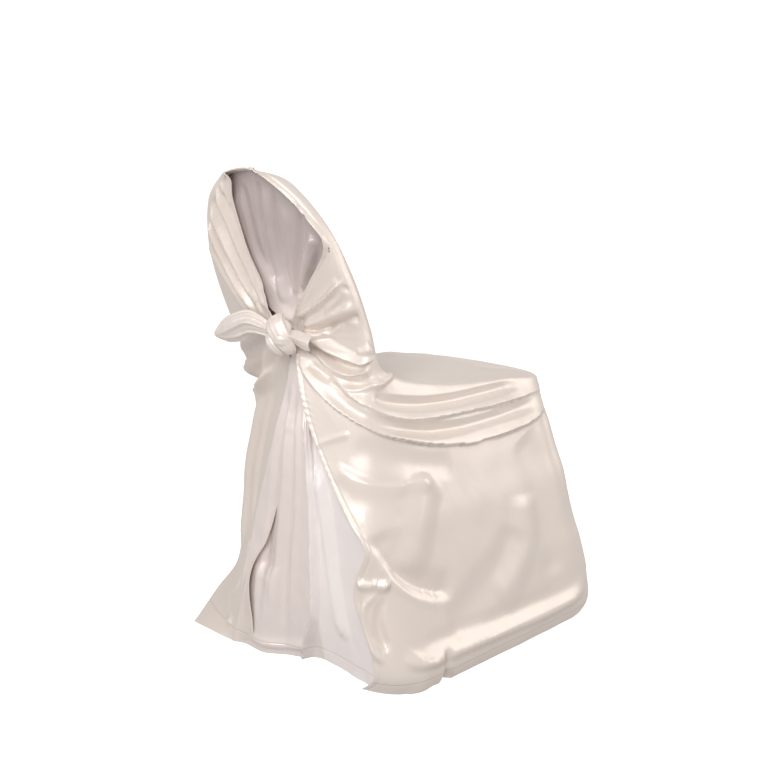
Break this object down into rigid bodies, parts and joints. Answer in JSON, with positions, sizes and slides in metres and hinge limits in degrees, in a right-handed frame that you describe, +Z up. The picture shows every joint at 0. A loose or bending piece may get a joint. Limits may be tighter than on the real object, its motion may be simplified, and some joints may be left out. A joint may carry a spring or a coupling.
{
  "type": "satin chair cover with tied sash",
  "caption": "Floor-length satin slip cover for a banquet chair, open at the back over a hanging panel, drawn in by a knotted sash.",
  "frame": {"origin": "on the floor, under the middle of the cover's overall box", "axes": "+Z up, -Y towards the front of the seat, +X to the sitter's left, which is the viewer's left from behind"},
  "size_m": [0.5978, 0.6727, 0.8462],
  "materials": {
    "cover satin": "ivory satin, soft sheen",
    "panel satin": "ivory satin in the shade of the open back",
    "sash satin": "ivory satin, soft sheen"
  },
  "bodies": {
    "root": {"cover": "cover satin", "back_panel": "panel satin", "sash_knot": "sash satin", "sash_tail_left": "sash satin", "sash_tail_right": "sash satin"}
  },
  "joints": []
}
